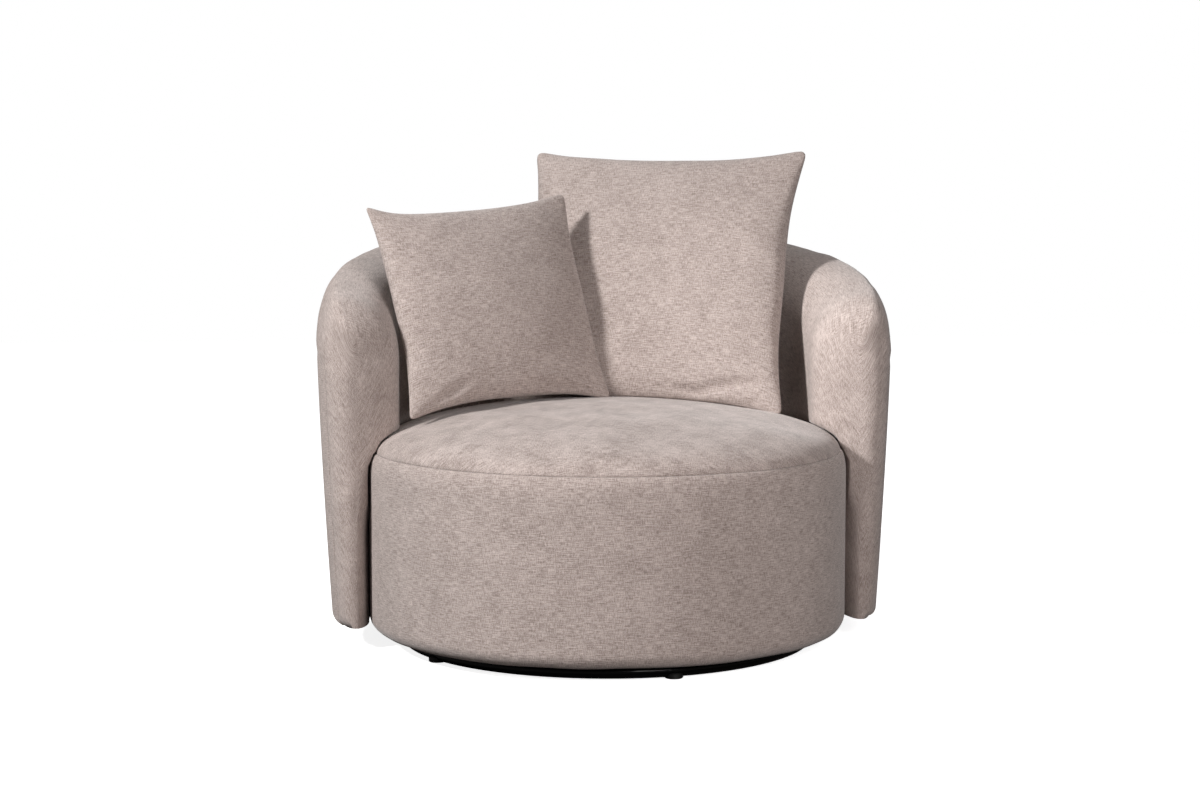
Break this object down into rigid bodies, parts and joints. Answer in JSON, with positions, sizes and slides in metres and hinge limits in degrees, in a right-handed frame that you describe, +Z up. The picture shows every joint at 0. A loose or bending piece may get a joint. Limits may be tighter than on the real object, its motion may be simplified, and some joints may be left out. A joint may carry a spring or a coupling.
{
  "type": "cuddle chair",
  "caption": "Swivel cuddle chair with a round crowned drum seat, a rolled wrap-around shell, two loose knife-edge cushions and a tube ring base.",
  "frame": {"origin": "on the floor, in the middle of the chair's overall length and width", "axes": "+X to the right as seen from the front, +Y from the front to the back, +Z up"},
  "size_m": [1.1054, 1.0556, 0.9391],
  "materials": {
    "upholstery": "soft woven, matt",
    "black_steel": "gloss black powder coat",
    "black_plastic": "matt",
    "plain_steel": "plain",
    "plywood": "sanded, unpainted",
    "webbing": "woven elastic",
    "foam": "open-cell foam",
    "black_cloth": "thin non-woven"
  },
  "bodies": {
    "base": {"base_ring": "black_steel", "glide_1": "black_plastic", "glide_2": "black_plastic", "glide_3": "black_plastic", "glide_4": "black_plastic", "glide_5": "black_plastic", "base_spoke_1": "black_steel", "base_spoke_2": "black_steel", "base_spoke_3": "black_steel", "base_spoke_4": "black_steel", "base_spoke_5": "black_steel", "hub_race_plate": "black_steel", "ball_cage": "plain_steel", "race_ball_1": "plain_steel", "race_ball_2": "plain_steel", "race_ball_3": "plain_steel", "race_ball_4": "plain_steel", "race_ball_5": "plain_steel", "race_ball_6": "plain_steel", "race_ball_7": "plain_steel", "race_ball_8": "plain_steel", "centre_rivet": "plain_steel"},
    "chair": {"upper_race_plate": "black_steel", "plate_bolt_1": "plain_steel", "plate_bolt_2": "plain_steel", "plate_bolt_3": "plain_steel", "plate_bolt_4": "plain_steel", "seat_base_board": "plywood", "seat_post_1": "plywood", "seat_post_2": "plywood", "seat_post_3": "plywood", "seat_post_4": "plywood", "seat_top_frame": "plywood", "web_strap_across_1": "webbing", "web_strap_across_2": "webbing", "web_strap_across_3": "webbing", "web_strap_across_4": "webbing", "web_strap_across_5": "webbing", "web_strap_along_1": "webbing", "web_strap_along_2": "webbing", "web_strap_along_3": "webbing", "web_strap_along_4": "webbing", "web_strap_along_5": "webbing", "seat_foam": "foam", "seat_top_cover": "upholstery", "drum_side_band": "upholstery", "dust_cover": "black_cloth", "shell_pad": "upholstery", "shell_outer_panel": "upholstery", "shell_bottom_rail": "plywood", "shell_crest_rail": "plywood", "shell_upright_1": "plywood", "shell_upright_2": "plywood", "shell_upright_3": "plywood", "shell_upright_4": "plywood", "shell_upright_5": "plywood", "shell_upright_6": "plywood", "shell_upright_7": "plywood"},
    "large_cushion": {"large_cushion": "upholstery"},
    "small_cushion": {"small_cushion": "upholstery"}
  },
  "joints": [
    {"name": "swivel", "type": "hinge", "parent": "base", "child": "chair", "pos_m": [0, -0.07025, 0], "axis": [0, 0, 1], "continuous": true},
    {"name": "large_cushion_lift", "type": "slide", "parent": "chair", "child": "large_cushion", "axis": [0, 0, 1], "range_m": [0, 0.45]},
    {"name": "small_cushion_lift", "type": "slide", "parent": "large_cushion", "child": "small_cushion", "axis": [0, 0, 1], "range_m": [0, 0.55]}
  ]
}
